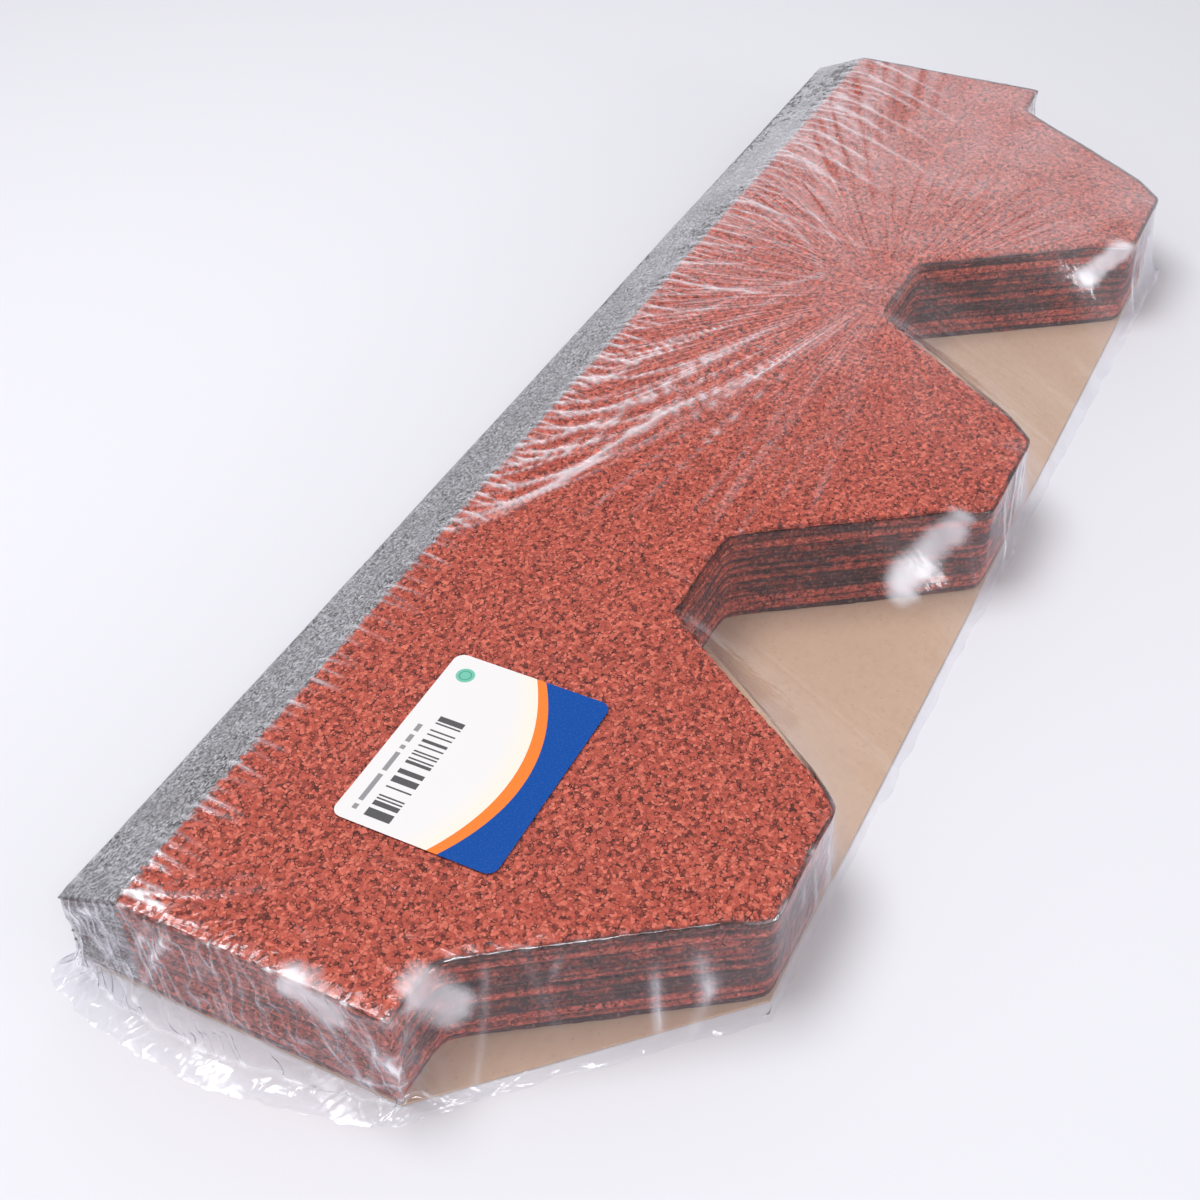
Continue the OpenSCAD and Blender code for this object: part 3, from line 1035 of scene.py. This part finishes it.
class BUNDLE_OT_label(bpy.types.Operator):
    """Adds the paper label"""

    bl_idname = "bundle.add_label"
    bl_label = "Paper label"

    def execute(self, context):
        label = context.scene.bundle_label
        low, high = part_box("label")
        middle, half = (low + high) / 2, (high - low) / 2
        outline = rounded_outline(half.x, half.y, label.corner)
        count = len(outline)
        shares = (1.0, 0.97, 0.88, 0.72, 0.52, 0.3, 0.1)
        plan = np.concatenate([outline * share for share in shares])
        wave = 0.5 + 0.5 * smooth_noise(plan[:, 0], plan[:, 1], 0.035, 81)
        rise = label.lift * wave * np.repeat((1.0, 0.85, 0.6, 0.5, 0.45, 0.4, 0.4), count)
        sides = [np.column_stack([plan + middle.xy, z + rise]) for z in (high.z, low.z)]
        points = np.concatenate(sides)
        upper = ring_indices(0, count, len(shares))
        lower = ring_indices(len(plan), count, len(shares))
        faces = join_rows(upper, count) + [tuple(upper[-1])]
        faces += join_rows(lower[::-1], count) + [tuple(lower[-1][::-1])]
        faces += join_rows([lower[0], upper[0]], count)
        piece = add_piece("paper_label", points, faces, label_material(label, low, high), None, radians(40))
        finish_piece(piece, "label_paper", "label")
        return {"FINISHED"}


class BUNDLE_OT_stage(bpy.types.Operator):
    """Sets the floor, the lights and the camera"""

    bl_idname = "bundle.set_stage"
    bl_label = "Stage"

    def execute(self, context):
        stage = context.scene.bundle_stage
        self.add_floor(stage)
        self.light_world(context.scene)
        self.add_lights()
        self.add_camera(context.scene, stage)
        context.scene.view_settings.view_transform = "Standard"
        return {"FINISHED"}

    def add_floor(self, stage):
        reach = 12.0
        corners = [(-reach, -reach, 0), (reach, -reach, 0), (reach, reach, 0), (-reach, reach, 0)]
        material, s = new_material("studio_floor")
        cloud = s.noise(s.place(), 3.0, 2.0)
        colour = s.mix(cloud * 0.06, stage.floor_colour, (0.74, 0.74, 0.78))
        s.surface(s.principled(colour, 0.7, 0.2, {}))
        add_piece("studio_floor", corners, [(0, 1, 2, 3)], material)

    def light_world(self, scene):
        world = bpy.data.worlds.new("studio")
        scene.world = world
        s = Shader(world)
        up = s.axes(s.node("ShaderNodeTexCoord", output="Generated"))[2]
        sky = s.ramp(up, [(0.0, (1.0, 1.0, 1.03)), (0.35, (0.9, 0.9, 0.93)), (0.62, (0.42, 0.42, 0.44)),
                          (1.0, (0.6, 0.6, 0.62))])
        s.surface(s.node("ShaderNodeBackground", None, {0: sky, 1: 0.92}), "ShaderNodeOutputWorld")

    def add_lights(self):
        lamps = {
            "key_softbox": ((-0.35, 0.65, 2.0), (0.0, 0.0, 0.0), 1.2, 0.9, 31.0),
            "end_softbox": ((1.9, 0.7, 0.9), (0.3, 0.0, 0.0), 1.2, 0.5, 1.8),
            "camera_softbox": ((-1.15, -0.75, 1.25), (-0.1, 0.0, 0.0), 0.42, 0.24, 4.0),
            "front_softbox": ((-0.25, -2.6, 0.75), (0.1, -0.13, 0.04), 0.8, 0.6, 16.0),
        }
        for name, (place, aim, width, height, power) in lamps.items():
            data = bpy.data.lights.new(name, "AREA")
            data.shape = "RECTANGLE"
            data.size = width
            data.size_y = height
            data.energy = power
            lamp = bpy.data.objects.new(name, data)
            lamp.location = place
            lamp.rotation_euler = (Vector(aim) - Vector(place)).to_track_quat("-Z", "Y").to_euler()
            bpy.context.collection.objects.link(lamp)

    def add_camera(self, scene, stage):
        data = bpy.data.cameras.new("camera")
        data.lens = stage.lens
        data.sensor_width = 36.0
        level = cos(stage.elevation)
        back = Vector((sin(stage.azimuth) * level, -cos(stage.azimuth) * level, sin(stage.elevation)))
        right = Vector((0, 0, 1)).cross(back).normalized()
        up = back.cross(right)
        turned = right * cos(stage.roll) + up * sin(stage.roll)
        up = up * cos(stage.roll) - right * sin(stage.roll)
        camera = bpy.data.objects.new("camera", data)
        place = Vector(stage.target) + back * stage.distance
        camera.matrix_world = Matrix.Translation(place) @ Matrix((turned, up, back)).transposed().to_4x4()
        bpy.context.collection.objects.link(camera)
        scene.camera = camera


class BUNDLE_PT_panel(bpy.types.Panel):
    """Lists the pieces of the bundle"""

    bl_idname = "BUNDLE_PT_panel"
    bl_label = "Shingle Bundle"
    bl_space_type = "VIEW_3D"
    bl_region_type = "UI"
    bl_category = "Bundle"

    def draw(self, context):
        for operator, group in STEPS:
            box = self.layout.box()
            box.operator(operator.bl_idname)
            settings = getattr(context.scene, group)
            for name in settings.__annotations__:
                box.prop(settings, name)


GROUPS = {
    "bundle_shingles": BundleShingles,
    "bundle_film": BundleFilm,
    "bundle_board": BundleBoard,
    "bundle_label": BundleLabel,
    "bundle_stage": BundleStage,
}
STEPS = (
    (BUNDLE_OT_stage, "bundle_stage"),
    (BUNDLE_OT_strips, "bundle_shingles"),
    (BUNDLE_OT_board, "bundle_board"),
    (BUNDLE_OT_film, "bundle_film"),
    (BUNDLE_OT_label, "bundle_label"),
)


def register():
    for group in GROUPS.values():
        bpy.utils.register_class(group)
    for name, group in GROUPS.items():
        setattr(bpy.types.Scene, name, PointerProperty(type=group))
    for operator, _ in STEPS:
        bpy.utils.register_class(operator)
    bpy.utils.register_class(BUNDLE_PT_panel)


def unregister():
    bpy.utils.unregister_class(BUNDLE_PT_panel)
    for operator, _ in reversed(STEPS):
        bpy.utils.unregister_class(operator)
    for name, group in GROUPS.items():
        delattr(bpy.types.Scene, name)
        bpy.utils.unregister_class(group)


def main():
    register()
    bpy.ops.bundle.set_stage()
    bpy.ops.bundle.add_strips()
    bpy.ops.bundle.finish_board()
    bpy.ops.bundle.add_film()
    bpy.ops.bundle.add_label()


if __name__ == "__main__":
    main()
